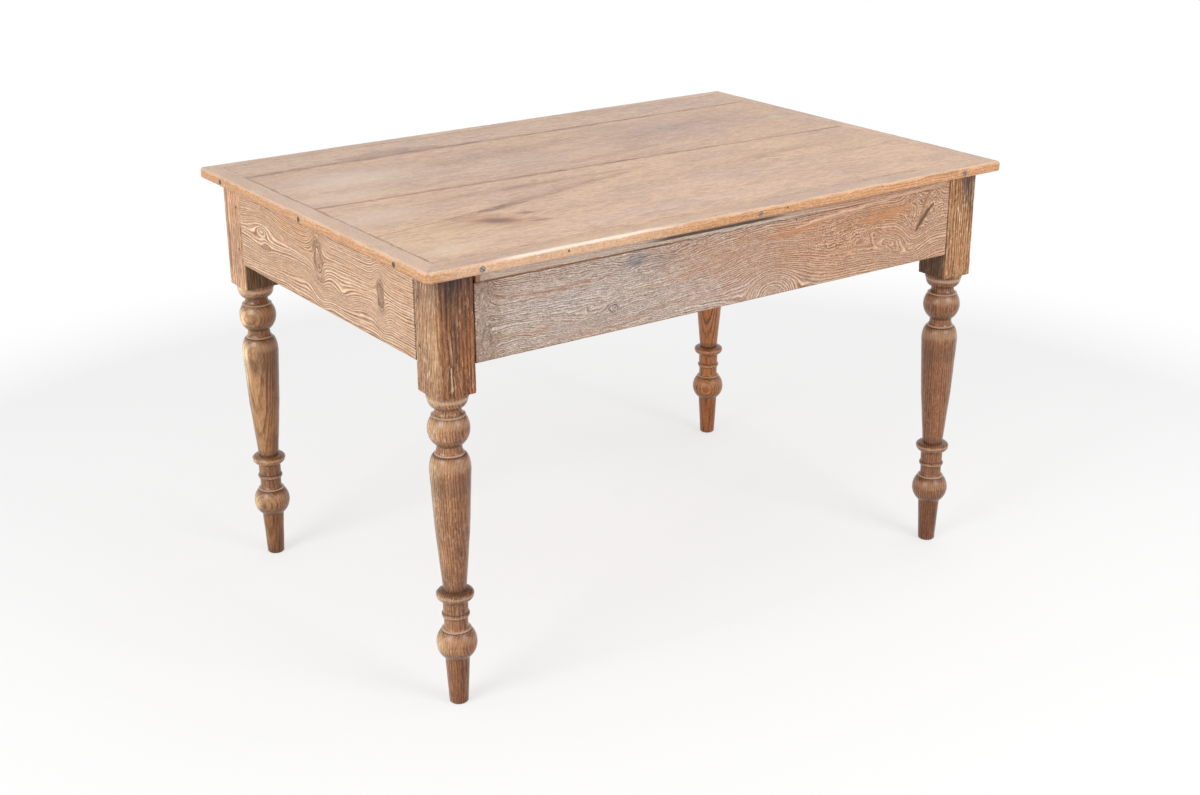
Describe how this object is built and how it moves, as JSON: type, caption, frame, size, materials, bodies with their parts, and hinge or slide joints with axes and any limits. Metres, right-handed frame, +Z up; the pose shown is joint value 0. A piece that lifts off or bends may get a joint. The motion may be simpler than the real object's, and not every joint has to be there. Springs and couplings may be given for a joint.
{
  "type": "kitchen table",
  "caption": "Rectangular wooden kitchen table with a mitred border round a boarded top, deep aprons and turned baluster legs.",
  "frame": {"origin": "on the floor, under the middle of the table top", "axes": "+X along the table's length to the right as seen from the front, +Y from the front to the back, +Z up"},
  "size_m": [1.22, 0.84, 0.775],
  "materials": {
    "top_wood": "worn matte waxed hardwood, pale brown",
    "edge_wood": "worn waxed hardwood, honey brown",
    "front_apron_wood": "wire-brushed, limed hardwood, grey brown",
    "end_apron_wood": "wire-brushed hardwood, honey tan",
    "leg_wood": "satin limed hardwood, mid brown",
    "inner_wood": "unfinished sawn hardwood",
    "peg_wood": "dark end grain",
    "screw_steel": "dull oxidised steel"
  },
  "bodies": {
    "root": {"top_board_back": "top_wood", "top_board_middle": "top_wood", "top_board_front": "top_wood", "border_front": "edge_wood", "border_back": "edge_wood", "border_left_end": "edge_wood", "border_right_end": "edge_wood", "apron_front": "front_apron_wood", "front_lath": "front_apron_wood", "apron_back": "front_apron_wood", "apron_left_end": "end_apron_wood", "apron_right_end": "end_apron_wood", "leg_front_left": "leg_wood", "leg_front_right": "leg_wood", "leg_back_left": "leg_wood", "leg_back_right": "leg_wood", "cross_batten_left": "inner_wood", "cross_batten_right": "inner_wood", "glue_blocks_front": "inner_wood", "glue_blocks_back": "inner_wood", "glue_blocks_left_end": "inner_wood", "glue_blocks_right_end": "inner_wood", "tenon_pegs": "peg_wood", "edge_screws": "screw_steel", "batten_screws": "screw_steel"}
  },
  "joints": []
}
